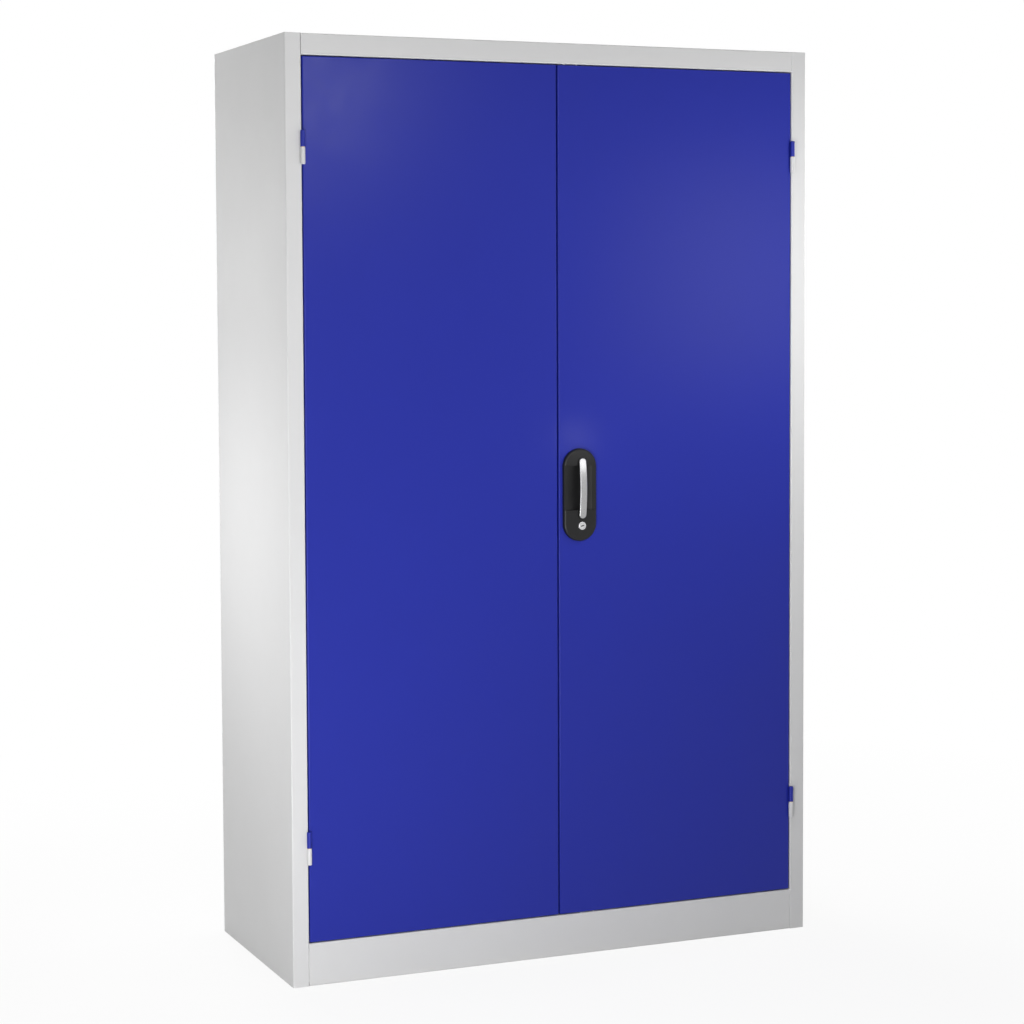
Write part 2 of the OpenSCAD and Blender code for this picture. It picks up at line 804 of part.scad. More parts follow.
// Four round bars along Y, where the cover's screws are
module cover_holes(r, y0, y1) {
    for (sx = [-1, 1], sz = [-1, 1]) {
        translate([sx * (case_half + case_t + case_lip / 2), 0, pivot_z + sz * (case_h / 2 - cover_hole_z)])
            bar_y(r, y0, y1);
    }
}

// Cover with two windows over the meshing teeth
module lock_case_cover() {
    out = case_half + case_t + case_lip;
    color("silver") placed() translate([handle_x, 0, 0]) along_y(cover_y, cover_y + cover_t) difference() {
        translate([-out, pivot_z - case_h / 2]) square([2 * out, case_h]);
        for (s = [-1, 1]) translate([s * (pitch_r + window_w / 6), pivot_z]) {
            square([window_w, 2 * mesh_half], center = true);
            for (e = [-1, 1]) translate([0, e * mesh_half]) circle(d = window_w);
        }
        translate([0, pivot_z]) circle(r = spindle_r + fit);
        for (sx = [-1, 1], sz = [-1, 1]) {
            translate([sx * (case_half + case_t + case_lip / 2), pivot_z + sz * (case_h / 2 - cover_hole_z)])
                circle(r = cover_screw_r + fit);
        }
    }
}

module cover_screws() {
    color("silver") placed() translate([handle_x, 0, 0]) {
        cover_holes(cover_screw_r, cover_y - case_t - cut, cover_y + cover_t + seam);
        cover_holes(cover_head_r, cover_y + cover_t, cover_y + cover_t + cover_head_h);
    }
}

// Bracket whose ear guides a rod
module rod_guide(x, z) {
    translate([x, 0, z]) difference() {
        union() {
            box(-guide_w / 2, guide_w / 2, door_sheet, door_sheet + guide_t, 0, guide_w);
            box(-guide_w / 2, guide_w / 2, door_sheet, mech_y, 0, guide_t);
            translate([0, mech_y, 0]) cylinder(r = guide_w / 2, h = guide_t);
        }
        translate([0, mech_y, -cut]) cylinder(r = rod_r + fit, h = guide_w + 2 * cut);
        box(-guide_w, guide_w, -guide_w, door_sheet, -cut, guide_w);
    }
}

module rod_guides() {
    color("silver") placed() {
        for (z = [door_top - guide_inset, (door_top + pivot_z) / 2]) rod_guide(rod_x(-1), z);
        for (z = [door_z + guide_inset, (door_z + lock_z) / 2]) rod_guide(rod_x(1), z);
    }
}

// Involute pinion: half the angle of a tooth at radius r, in degrees
base_r = pitch_r * cos(pressure);
function roll(r) = let (a = acos(base_r / r)) tan(a) * 180 / PI - a;
function half_tooth(r) = 90 / pinion_teeth - tooth_play / 2 / pitch_r * 180 / PI + roll(pitch_r) - roll(max(r, base_r));
function polar(r, a) = [r * cos(a), r * sin(a)];

module pinion_outline() {
    root_r = pitch_r - tooth_ded - root_gap;
    tip_r = pitch_r + tooth_add;
    radii = [for (k = [0:flank_steps]) base_r + (tip_r - base_r) * k / flank_steps];
    polygon([for (i = [0:pinion_teeth - 1]) let (a = i * 360 / pinion_teeth) each concat(
        [polar(root_r, a - half_tooth(base_r))],
        [for (r = radii) polar(r, a - half_tooth(r))],
        [for (r = backwards(radii)) polar(r, a + half_tooth(r))],
        [polar(root_r, a + half_tooth(base_r))])]);
}

module lock_pinion() {
    color("silver") placed() translate([handle_x, 0, pivot_z]) difference() {
        along_y(mech_y - rack_t / 2, mech_y + rack_t / 2) pinion_outline();
        bar_y(spindle_r + fit / 2, 0, cover_y + cut);
    }
}

// Rack whose teeth point to +X from a pitch line at x = 0, from z0 to z1
module rack(z0, z1) {
    flank = tan(pressure);
    half = tooth_pitch / 4 - tooth_play / 2;
    along_y(mech_y - rack_t / 2, mech_y + rack_t / 2) {
        translate([-tooth_ded - rack_back, z0]) square([rack_back, z1 - z0]);
        for (k = [ceil(z0 / tooth_pitch):floor(z1 / tooth_pitch) - 1]) {
            translate([0, (k + 0.5) * tooth_pitch]) polygon([
                [-tooth_ded - 0.5, -half - tooth_ded * flank], [-tooth_ded, -half - tooth_ded * flank],
                [tooth_add, -half + tooth_add * flank], [tooth_add, half - tooth_add * flank],
                [-tooth_ded, half + tooth_ded * flank], [-tooth_ded - 0.5, half + tooth_ded * flank]]);
        }
    }
}

module upper_rack() {
    color("silver") placed() translate([handle_x - pitch_r, 0, pivot_z]) rack(-mesh_half, rod_stroke + mesh_half);
}

module lower_rack() {
    color("silver") placed() translate([handle_x + pitch_r, 0, pivot_z]) mirror([1, 0, 0])
        rack(-rod_stroke - mesh_half, mesh_half);
}

// Rod with a tapered tip, standing on z = 0
module rod(length) {
    rotate_extrude() polygon([[0, 0], [rod_r, 0], [rod_r, length - rod_tip], [0.7 * rod_r, length], [0, length]]);
}

module upper_lock_rod() {
    z0 = pivot_z + rod_stroke + mesh_half;
    color("silver") placed() translate([rod_x(-1), mech_y, z0]) rod(head_z - rod_short - z0);
}

module lower_lock_rod() {
    z0 = pivot_z - rod_stroke - mesh_half;
    notch = cam_w / 2 + 2 * loose;
    color("silver") placed() difference() {
        translate([rod_x(1), mech_y, z0]) mirror([0, 0, 1]) rod(z0 - plinth_h - rod_short);
        // notch that the cam's nose turns into
        translate([rod_x(1), mech_y, lock_z])
            box(-rod_r - cut, -rod_r + notch_d, -rod_r - cut, rod_r + cut, -notch, notch);
    }
}

// Keepers
// Plate round a rod's axis; its front edge starts clear of the bend behind the front face
module keeper_plate() {
    y0 = sheet + bend_r - mech_y;
    linear_extrude(keeper_t) difference() {
        translate([-keeper_l / 2, y0]) square([keeper_l, keeper_w]);
        circle(r = rod_r + loose);
        for (s = [-1, 1]) translate([s * keeper_screw_off, 0]) circle(r = keeper_screw_r + fit);
    }
}

module upper_keeper() {
    color("silver") placed() translate([rod_x(-1), mech_y, head_z + sheet]) keeper_plate();
}

module lower_keeper() {
    color("silver") placed() translate([rod_x(1), mech_y, plinth_h - sheet - keeper_t]) keeper_plate();
}

// Low-headed screw, standing on its head
module keeper_screw() {
    cylinder(r = keeper_head_r, h = keeper_head_h);
    cylinder(r = keeper_screw_r, h = keeper_head_h + sheet + keeper_t + keeper_screw_out);
}

module keeper_screws() {
    color("silver") placed() for (s = [-1, 1]) {
        translate([rod_x(-1) + s * keeper_screw_off, mech_y, head_z - keeper_head_h]) keeper_screw();
        translate([rod_x(1) + s * keeper_screw_off, mech_y, plinth_h + keeper_head_h])
            mirror([0, 0, 1]) keeper_screw();
    }
}

// Lever and spindle

// Radius of the lever's front face, and its distance in front of the door at the middle
bow_chord = lever_len + lever_w;
bow_r = bow_chord * bow_chord / 8 / lever_bow + lever_bow / 2;
// Depth of the lever's back face off the door, at distance dz from its middle
function lever_back(dz) = lever_front - lever_t - ((bow_r - lever_t) - sqrt(pow(bow_r - lever_t, 2) - dz * dz));

module handle_lever() {
    mid = pivot_z - lever_len / 2;
    color([0.8, 0.8, 0.82]) placed() translate([handle_x, 0, 0]) difference() {
        intersection() {
            // ring about the bow's centre, behind the lever; its axis runs along X
            translate([0, bow_r - lever_front, mid]) rotate([0, 90, 0]) rotate_extrude($fn = 180)
                translate([bow_r - lever_t, -lever_w / 2]) lever_section();
            along_y(-lever_front - 1, 0) {
                translate([-lever_w / 2, mid - lever_len / 2]) square([lever_w, lever_len]);
                for (s = [-1, 1]) translate([0, mid + s * lever_len / 2]) circle(d = lever_w);
            }
        }
        translate([0, 0, pivot_z]) bar_y(spindle_r + fit / 2, -lever_back(lever_len / 2) - socket_d, 0);
    }
}

// Section of the lever at the bow radius: a flat bar with eased long edges
module lever_section() {
    e = lever_t * 0.42;
    polygon([for (c = [[e, e, 180], [lever_t - e, e, 270], [lever_t - e, lever_w - e, 0], [e, lever_w - e, 90]],
        k = [0:3]) [c[0], c[1]] + polar(e, c[2] + k * 30)]);
}

module lever_spindle() {
    color("silver") placed() translate([handle_x, 0, pivot_z]) difference() {
        bar_y(spindle_r, -lever_back(lever_len / 2) - socket_d + seam, spindle_end);
        // groove for the ring
        difference() {
            bar_y(spindle_r + cut, ring_y - seam, ring_y + ring_t + seam);
            bar_y(spindle_r - groove_d, ring_y - cut, ring_y + ring_t + cut);
        }
    }
}

module spindle_ring() {
    color("dimgray") placed() translate([handle_x, 0, pivot_z]) difference() {
        bar_y(spindle_r + ring_out, ring_y, ring_y + ring_t);
        bar_y(spindle_r - groove_d + fit, ring_y - cut, ring_y + ring_t + cut);
        box(-spindle_r / 2, spindle_r / 2, ring_y - cut, ring_y + ring_t + cut, -spindle_r - ring_out - cut, 0);
    }
}

// Lock cylinder

module lock_barrel() {
    color([0.85, 0.85, 0.87]) placed() translate([handle_x, 0, lock_z]) difference() {
        union() {
            // face with a rounded rim
            rotate([90, 0, 0]) translate([0, 0, cap_h]) rotate_extrude() {
                square([lock_face_r, barrel_face / 2]);
                square([lock_face_r - barrel_face / 2, barrel_face]);
                intersection() {
                    translate([lock_face_r - barrel_face / 2, barrel_face / 2]) circle(r = barrel_face / 2);
                    square([lock_face_r, barrel_face]);
                }
            }
            bar_y(lock_body_r, -cap_h - seam, barrel_end);
        }
        bar_y(plug_r + fit, -cap_h - barrel_face - cut, barrel_end + cut);
    }
}

module barrel_nut() {
    color("silver") placed() translate([handle_x, 0, lock_z]) difference() {
        rotate([0, 30, 0]) bar_y(nut_r, door_sheet, door_sheet + nut_t, $fn = 6);
        bar_y(lock_body_r + fit / 2, 0, barrel_end + cut);
    }
}

// Plug with its key slot, a neck for the cam and a tapped hole behind
module lock_plug() {
    front = -cap_h - barrel_face + plug_sunk;
    color([0.85, 0.85, 0.87]) placed() translate([handle_x, 0, lock_z]) difference() {
        union() {
            bar_y(plug_r, front, cam_y - seam);
            bar_y(plug_neck_r, barrel_end, cam_y + cam_t);
        }
        rotate([0, -key_slot_tilt, 0]) box(-key_slot_l / 2, key_slot_l / 2, front - cut, front + key_slot_d,
            -key_slot_w / 2, key_slot_w / 2);
        bar_y(cam_screw_r, barrel_end - cam_screw_l - loose, cam_y + cam_t + cut);
    }
}

// Cam hanging down at rest; its nose turns towards the lower rod
module lock_cam() {
    reach = rod_off - rod_r - rod_short;
    color("silver") placed() translate([handle_x, 0, lock_z]) along_y(cam_y, cam_y + cam_t) difference() {
        union() {
            circle(r = cam_r);
            translate([-cam_w / 2, -reach]) square([cam_w, reach]);
        }
        circle(r = plug_neck_r + fit / 2);
    }
}

// Slotted screw that holds the cam
module cam_screw() {
    y0 = cam_y + cam_t;
    color("silver") placed() translate([handle_x, 0, lock_z]) {
        bar_y(cam_screw_r - fit / 2, barrel_end - cam_screw_l, y0 + seam);
        difference() {
            bar_y(cam_head_r, y0 + seam / 2, y0 + cam_head_h);
            box(-cam_head_r - cut, cam_head_r + cut, y0 + cam_head_h - slot_depth, y0 + cam_head_h + cut,
                -slot_depth / 2, slot_depth / 2);
        }
    }
}

left_side_panel();
right_side_panel();
back_panel();
top_panel();
header();
floor_panel();
front_left_upright();
front_right_upright();
rear_left_upright();
rear_right_upright();
shelf(1);  // shelf_1
shelf(2);  // shelf_2
shelf(3);  // shelf_3
shelf(4);  // shelf_4
shelf_stiffeners();
shelf_clips();
upper_left_frame_hinge();
lower_left_frame_hinge();
upper_right_frame_hinge();
lower_right_frame_hinge();
hinge_pins();
hinge_washers();
door_buffers();
upper_keeper();
lower_keeper();
keeper_screws();
left_door_panel();
left_door_channel();
upper_left_door_hinge();
lower_left_door_hinge();
right_door_panel();
right_door_channel();
upper_right_door_hinge();
lower_right_door_hinge();
handle_shell();
handle_screws();
lock_case();
lock_case_cover();
cover_screws();
rod_guides();
lock_barrel();
barrel_nut();
handle_lever();
lever_spindle();
lock_pinion();
spindle_ring();
upper_rack();
upper_lock_rod();
lower_rack();
lower_lock_rod();
lock_plug();
lock_cam();
cam_screw();
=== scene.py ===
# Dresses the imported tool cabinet: camera, paint and metal finishes, the pieces of the handle, and the studio.
import json
import math

import bpy
from mathutils import Matrix, Vector


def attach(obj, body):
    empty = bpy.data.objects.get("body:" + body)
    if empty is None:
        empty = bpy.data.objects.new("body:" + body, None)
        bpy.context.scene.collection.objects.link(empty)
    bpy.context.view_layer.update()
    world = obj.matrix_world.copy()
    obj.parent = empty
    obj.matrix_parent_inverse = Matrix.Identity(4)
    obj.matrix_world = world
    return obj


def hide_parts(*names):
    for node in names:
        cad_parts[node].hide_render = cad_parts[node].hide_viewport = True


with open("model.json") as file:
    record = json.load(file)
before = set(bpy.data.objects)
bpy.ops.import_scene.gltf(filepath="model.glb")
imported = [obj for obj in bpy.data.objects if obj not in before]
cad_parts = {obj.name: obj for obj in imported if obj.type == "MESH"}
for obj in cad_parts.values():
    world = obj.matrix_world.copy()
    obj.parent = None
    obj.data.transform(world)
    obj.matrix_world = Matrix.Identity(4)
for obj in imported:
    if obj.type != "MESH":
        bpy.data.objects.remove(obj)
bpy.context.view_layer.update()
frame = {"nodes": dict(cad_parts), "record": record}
nodes = frame["nodes"]
print("frame loaded:", len(nodes), "nodes")


cameraSetup = {
    "place": (-2.1223, -4.9646, 1.4220),
    "turn": 23.105,  # degrees towards +X
    "tilt": -3.415,
    "roll": -0.253,
    "lens": 85.867,
    "sensor": 36,
    "shiftY": -0.0703,
    "sees": 200,  # metres
}


def placeCamera(setup):
    data = bpy.data.cameras.new("photoCamera")
    data.lens = setup["lens"]
    data.sensor_width = setup["sensor"]
    data.shift_y = setup["shiftY"]
    data.clip_end = setup["sees"]
    camera = bpy.data.objects.new("photoCamera", data)
    bpy.context.scene.collection.objects.link(camera)
    turn = Matrix.Rotation(math.radians(-setup["turn"]), 4, "Z")
    tilt = Matrix.Rotation(math.radians(90 + setup["tilt"]), 4, "X")
    roll = Matrix.Rotation(math.radians(setup["roll"]), 4, "Z")
    camera.matrix_world = Matrix.Translation(setup["place"]) @ turn @ tilt @ roll
    bpy.context.scene.camera = camera


placeCamera(cameraSetup)
print("camera placed")


def newMaterial(name):
    material = bpy.data.materials.new(name)
    material.use_nodes = True
    tree = material.node_tree
    tree.nodes.clear()
    return material, tree


def addNode(tree, kind, x, y, **values):
    # a value goes to the socket of that name, or else to the node's own setting
    node = tree.nodes.new(kind)
    node.location = (x, y)
    for key, value in values.items():
        if key in node.inputs:
            node.inputs[key].default_value = value
        else:
            setattr(node, key, value)
    return node


def addNoise(tree, coords, x, y, scale, detail=2.0, roughness=0.5, stretch=None):
    noise = addNode(tree, "ShaderNodeTexNoise", x, y, Scale=scale, Detail=detail, Roughness=roughness)
    source = coords.outputs["Object"]
    if stretch:
        mapping = addNode(tree, "ShaderNodeMapping", x - 200, y, Scale=stretch)
        tree.links.new(source, mapping.inputs["Vector"])
        source = mapping.outputs["Vector"]
    tree.links.new(source, noise.inputs["Vector"])
    return noise


def addRange(tree, source, x, y, low, high, fromLow=0.3, fromHigh=0.7):  # most of a noise lies in 0.3-0.7
    spread = addNode(tree, "ShaderNodeMapRange", x, y)
    spread.inputs["From Min"].default_value = fromLow
    spread.inputs["From Max"].default_value = fromHigh
    spread.inputs["To Min"].default_value = low
    spread.inputs["To Max"].default_value = high
    tree.links.new(source, spread.inputs["Value"])
    return spread


def colourSockets(sockets):
    return [socket for socket in sockets if socket.type == "RGBA"]


def addMix(tree, factor, x, y, colourA, colourB):
    mix = addNode(tree, "ShaderNodeMix", x, y, data_type="RGBA")
    tree.links.new(factor, mix.inputs["Factor"])
    for socket, colour in zip(colourSockets(mix.inputs), (colourA, colourB)):
        socket.default_value = (*colour, 1)
    return mix


def addMath(tree, operation, x, y, first, second):
    node = addNode(tree, "ShaderNodeMath", x, y, operation=operation)
    tree.links.new(first, node.inputs[0])
    tree.links.new(second, node.inputs[1])
    return node.outputs[0]


def addBump(tree, height, x, y, relief, under=None):
    strength, depth = relief
    bump = addNode(tree, "ShaderNodeBump", x, y, Strength=strength, Distance=depth)
    tree.links.new(height, bump.inputs["Height"])
    if under:
        tree.links.new(under.outputs["Normal"], bump.inputs["Normal"])
    return bump


def wireShader(tree, shader, tone, gloss, bump):
    tree.links.new(colourSockets(tone.outputs)[0], shader.inputs["Base Color"])
    tree.links.new(gloss.outputs["Result"], shader.inputs["Roughness"])
    tree.links.new(bump.outputs["Normal"], shader.inputs["Normal"])
    output = addNode(tree, "ShaderNodeOutputMaterial", 900, 0)
    tree.links.new(shader.outputs["BSDF"], output.inputs["Surface"])


greyPaint = {
    "colour": (0.600, 0.600, 0.600),
    "darker": (0.580, 0.580, 0.582),
    "gloss": (0.36, 0.44),
    "shine": 0.4,
}

bluePaint = {
    "colour": (0.0150, 0.0240, 0.284),
    "darker": (0.0140, 0.0220, 0.272),
    "gloss": (0.28, 0.36),
    "shine": 0.2,
}

# in the finishes below, a number of marks is counted in a metre, and a relief is a bump's strength and depth
coatSurface = {
    "clouds": 2.2,  # slow changes of tone
    "handling": 9,  # patches that hands have made duller or brighter
    "peel": 420,  # the orange peel
    "peelRelief": (0.35, 0.00006),
    "waves": 3.5,  # the sheet's own unevenness
    "waveRelief": (0.25, 0.004),
}


def powderCoat(name, look, surface):
    material, tree = newMaterial(name)
    coords = addNode(tree, "ShaderNodeTexCoord", -1100, 0)
    cloud = addNoise(tree, coords, -800, 250, surface["clouds"], 3)
    tone = addMix(tree, cloud.outputs["Fac"], -350, 250, look["darker"], look["colour"])
    handling = addNoise(tree, coords, -800, 0, surface["handling"], 4, 0.6)
    gloss = addRange(tree, handling.outputs["Fac"], -350, 0, *look["gloss"])
    peel = addNoise(tree, coords, -800, -250, surface["peel"], 1.5)
    waves = addNoise(tree, coords, -800, -500, surface["waves"], 1)
    sheet = addBump(tree, waves.outputs["Fac"], -350, -500, surface["waveRelief"])
    bump = addBump(tree, peel.outputs["Fac"], -100, -300, surface["peelRelief"], sheet)
    shader = addNode(tree, "ShaderNodeBsdfPrincipled", 400, 0)
    shader.inputs["Specular IOR Level"].default_value = look["shine"]
    wireShader(tree, shader, tone, gloss, bump)
    return material


zincSheet = {
    "colours": ((0.35, 0.365, 0.38), (0.50, 0.515, 0.53)),
    "gloss": (0.32, 0.5),
    "spangle": 55,  # zinc crystals
    "greys": (0.1, 0.9),  # the crystals' own greys, between which the gloss changes
    "ragged": (30, 0.03),  # marks and share of the waver in their edges
    "relief": (0.15, 0.0002),
}


def galvanised(name, look):
    material, tree = newMaterial(name)
    coords = addNode(tree, "ShaderNodeTexCoord", -1300, 0)
    marks, share = look["ragged"]
    waver = addNoise(tree, coords, -1100, 200, marks, 2)
    push = addNode(tree, "ShaderNodeMix", -900, 100, data_type="VECTOR")
    push.inputs["Factor"].default_value = share
    vectors = [socket for socket in push.inputs if socket.type == "VECTOR"]
    tree.links.new(coords.outputs["Object"], vectors[0])
    tree.links.new(waver.outputs["Color"], vectors[1])
    pushed = next(socket for socket in push.outputs if socket.type == "VECTOR")
    spangle = addNode(tree, "ShaderNodeTexVoronoi", -700, 100, Scale=look["spangle"])
    tree.links.new(pushed, spangle.inputs["Vector"])
    grey = addNode(tree, "ShaderNodeRGBToBW", -500, 100)
    tree.links.new(spangle.outputs["Color"], grey.inputs["Color"])
    tone = addMix(tree, grey.outputs["Val"], -250, 200, *look["colours"])
    gloss = addRange(tree, grey.outputs["Val"], -250, 0, *look["gloss"], *look["greys"])
    bump = addBump(tree, grey.outputs["Val"], -250, -250, look["relief"])
    shader = addNode(tree, "ShaderNodeBsdfPrincipled", 400, 0, Metallic=1.0)
    wireShader(tree, shader, tone, gloss, bump)
    return material


# a metal's grain along X, Y and Z is uneven where the metal was drawn or brushed
zincPlate = {
    "colours": ((0.50, 0.51, 0.53), (0.66, 0.67, 0.69)),
    "gloss": (0.24, 0.42),
    "grain": (60, 60, 900),
}

brass = {
    "colours": ((0.66, 0.47, 0.20), (0.80, 0.60, 0.30)),
    "gloss": (0.25, 0.45),
    "grain": (500, 500, 500),
}

leverMetal = {
    "colours": ((0.37, 0.37, 0.375), (0.43, 0.43, 0.435)),
    "gloss": (0.26, 0.34),
    "grain": (900, 900, 120),
}

chrome = {
    "colours": ((0.60, 0.60, 0.61), (0.70, 0.70, 0.71)),
    "gloss": (0.10, 0.2),
    "grain": (300, 300, 300),
}

metalSurface = {
    "clouds": 35,
    "relief": (0.3, 0.00002),
}


def workedMetal(name, look, surface, keyway=None):
    material, tree = newMaterial(name)
    coords = addNode(tree, "ShaderNodeTexCoord", -1300, 0)
    grain = addNoise(tree, coords, -800, 200, 1, 3, 0.6, look["grain"])
    cloud = addNoise(tree, coords, -800, -100, surface["clouds"], 3)
    tone = addMix(tree, cloud.outputs["Fac"], -350, 200, *look["colours"])
    gloss = addRange(tree, grain.outputs["Fac"], -350, 0, *look["gloss"])
    bump = addBump(tree, grain.outputs["Fac"], -350, -250, surface["relief"])
    shader = addNode(tree, "ShaderNodeBsdfPrincipled", 400, 0, Metallic=1.0)
    # painted shade: the keyway's walls are coloured dark
    if keyway:
        tone = paintKeywayShade(tree, coords, tone, keyway)
    wireShader(tree, shader, tone, gloss, bump)
    return material


def paintKeywayShade(tree, coords, tone, keyway):
    # painted shade: the walls of the keyway are coloured dark, from just under the plug's face to the slot's
    # end, in place of the shade inside the slot
    split = addNode(tree, "ShaderNodeSeparateXYZ", -800, 500)
    tree.links.new(coords.outputs["Object"], split.inputs["Vector"])
    depth = split.outputs["Y"]
    under = addRange(tree, depth, -600, 500, 0, 1, *keyway["paintedShadeStarts"])
    ahead = addRange(tree, depth, -600, 750, 1, 0, *keyway["paintedShadeEnds"])
    inside = addMath(tree, "MULTIPLY", -400, 600, under.outputs["Result"], ahead.outputs["Result"])
    shade = addMix(tree, inside, 100, 300, keyway["colour"], keyway["colour"])
    outside = colourSockets(shade.inputs)[0]
    tree.links.new(colourSockets(tone.outputs)[0], outside)
    return shade


blackPlastic = {
    "colours": ((0.006, 0.006, 0.0065), (0.010, 0.010, 0.0105)),
    "gloss": (0.30, 0.38),
    "shine": 0.26,
    "grain": 1500,
}

blackRubber = {
    "colours": ((0.014, 0.014, 0.014), (0.030, 0.030, 0.029)),
    "gloss": (0.7, 0.85),
    "shine": 0.4,
    "grain": 900,
}

mouldSurface = {
    "clouds": 25,
    "relief": (0.4, 0.00005),
}


def mouldedSurface(name, look, surface):
    material, tree = newMaterial(name)
    coords = addNode(tree, "ShaderNodeTexCoord", -1300, 0)
    grain = addNoise(tree, coords, -800, 200, look["grain"], 2)
    cloud = addNoise(tree, coords, -800, -100, surface["clouds"], 3)
    tone = addMix(tree, cloud.outputs["Fac"], -350, 200, *look["colours"])
    gloss = addRange(tree, cloud.outputs["Fac"], -350, 0, *look["gloss"])
    bump = addBump(tree, grain.outputs["Fac"], -350, -250, surface["relief"])
    shader = addNode(tree, "ShaderNodeBsdfPrincipled", 400, 0)
    shader.inputs["Specular IOR Level"].default_value = look["shine"]
    wireShader(tree, shader, tone, gloss, bump)
    return material


finishes = {
    "body_grey": powderCoat("greyPowderCoat", greyPaint, coatSurface),
    "door_blue": powderCoat("bluePowderCoat", bluePaint, coatSurface),
    "galvanised": galvanised("galvanisedSheet", zincSheet),
    "zinc_steel": workedMetal("zincPlatedSteel", zincPlate, metalSurface),
    "brass_washer": workedMetal("plainBrass", brass, metalSurface),
    "buffer_rubber": mouldedSurface("bufferRubber", blackRubber, mouldSurface),
    "shell_black": mouldedSurface("shellPlastic", blackPlastic, mouldSurface),
    "lever_silver": workedMetal("leverSatin", leverMetal, metalSurface),
    "lock_chrome": workedMetal("lockChrome", chrome, metalSurface),
}


def dressNodes(record):
    for part in record["subparts"]:
        node = nodes[part["node"]]
        node.data.materials.clear()
        node.data.materials.append(finishes[part["material_slot"]])


dressNodes(frame["record"])
print("finishes made:", len(finishes))


frontPlane = -0.2395  # the doors' and the frame's front faces
hair = 0.00001  # two places closer than this count as the same
copyMerge = {
    "weld": 0.000002,  # corners closer than this become one
    "flat": 0.2,  # faces that differ by fewer degrees become one
}


def pickOnly(piece):
    bpy.ops.object.select_all(action="DESELECT")
    piece.select_set(True)
    bpy.context.view_layer.objects.active = piece


def mergedCopy(nodeName, pieceName):
    piece = bpy.data.objects.new(pieceName, nodes[nodeName].data.copy())
    bpy.context.scene.collection.objects.link(piece)
    pickOnly(piece)
    bpy.ops.object.mode_set(mode="EDIT")
    bpy.ops.mesh.select_all(action="SELECT")
    bpy.ops.mesh.remove_doubles(threshold=copyMerge["weld"])
    bpy.ops.mesh.dissolve_limited(angle_limit=math.radians(copyMerge["flat"]))
    bpy.ops.object.mode_set(mode="OBJECT")
    return piece


def pickParts(kind, parts, wanted):
    # leaves the active piece in edit mode with only the wanted points, edges or faces selected
    bpy.ops.object.mode_set(mode="EDIT")
    bpy.ops.mesh.select_mode(type=kind)
    bpy.ops.mesh.select_all(action="DESELECT")
    bpy.ops.object.mode_set(mode="OBJECT")
    for part in parts:
        part.select = wanted(part)
    bpy.ops.object.mode_set(mode="EDIT")


def pickPoints(piece, wanted):
    pickParts("VERT", piece.data.vertices, lambda point: wanted(point.co))


def pickEdges(piece, wanted):
    points = piece.data.vertices
    pickParts("EDGE", piece.data.edges, lambda edge: wanted(*(points[i].co for i in edge.vertices)))


def pickFaces(piece, wanted):
    pickParts("FACE", piece.data.polygons, wanted)


def easeEdges(piece, wanted, easing, steps, clamped=False):
    pickEdges(piece, wanted)
    bpy.ops.mesh.bevel(offset=easing, segments=steps, affect="EDGES", clamp_overlap=clamped)
    bpy.ops.object.mode_set(mode="OBJECT")


def applyModifier(piece, kind, **values):
    pickOnly(piece)
    modifier = piece.modifiers.new(kind.lower(), kind)
    for key, value in values.items():
        setattr(modifier, key, value)
    bpy.ops.object.modifier_apply(modifier=modifier.name)


def settle(piece, name, body, slot, nodeName, smoothAngle, finish=None):
    # smooth shading with evened normals, then the finish and the place in the frame
    piece.name = name
    pickOnly(piece)
    bpy.ops.object.transform_apply(location=True, rotation=True, scale=True)
    bpy.ops.object.shade_smooth_by_angle(angle=math.radians(smoothAngle))
    applyModifier(piece, "WEIGHTED_NORMAL", keep_sharp=True)
    piece.data.materials.clear()
    piece.data.materials.append(finish or finishes[slot])
    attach(piece, body)
    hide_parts(nodeName)


# the solids already have their bends and roundings, so these pieces are merged copies with smooth shading
smoothNodes = {  # node: (piece, body, slot)
    "header": ("headerRail", "cabinet", "body_grey"),
    "floor_panel": ("floorAndPlinth", "cabinet", "body_grey"),
    "lock_barrel": ("lockBarrel", "right_door", "lock_chrome"),
    "hinge_pins": ("hingePins", "cabinet", "zinc_steel"),
    "hinge_washers": ("hingeWashers", "cabinet", "brass_washer"),
}
for side in ("left", "right"):
    smoothNodes[side + "_door_panel"] = (side + "DoorPan", side + "_door", "door_blue")
    smoothNodes[side + "_side_panel"] = (side + "Wall", "cabinet", "body_grey")
    for level in ("upper", "lower"):
        place, label = level + "_" + side, level + side.capitalize()
        smoothNodes[place + "_frame_hinge"] = (label + "FrameHinge", "cabinet", "body_grey")
        smoothNodes[place + "_door_hinge"] = (label + "DoorHinge", side + "_door", "door_blue")

foldAngle = 25  # degrees up to which two faces are shaded as one bend
for nodeName, (pieceName, body, slot) in smoothNodes.items():
    settle(mergedCopy(nodeName, pieceName), pieceName, body, slot, nodeName, foldAngle)
print("folded and round parts smoothed:", len(smoothNodes))


handleShell = {
    "rimHeight": 0.0075,  # above the door; the pads at both ends stand higher
    "padRise": 0.0002,  # an edge that comes this far above the rim belongs to a pad
    "stepLevels": (0.962, 1.0575),  # where the pads step down to the finger recess
    "stepBand": 0.00003,  # how closely a step's edge keeps to its level
    "easing": 0.0009,
    "steps": 3,
    "smoothAngle": 28,
}


def modelHandleShell(look):
    piece = mergedCopy("handle_shell", "handleShell")
    rim = frontPlane - look["rimHeight"]

    def padEdge(a, b):
        for level in look["stepLevels"]:
            if all(abs(p.z - level) < look["stepBand"] and p.y < rim + hair for p in (a, b)):
                return min(a.y, b.y) < rim - look["padRise"]
        return False

    easeEdges(piece, padEdge, look["easing"], look["steps"], clamped=True)
    settle(piece, "handleShell", "right_door", "shell_black", "handle_shell", look["smoothAngle"])


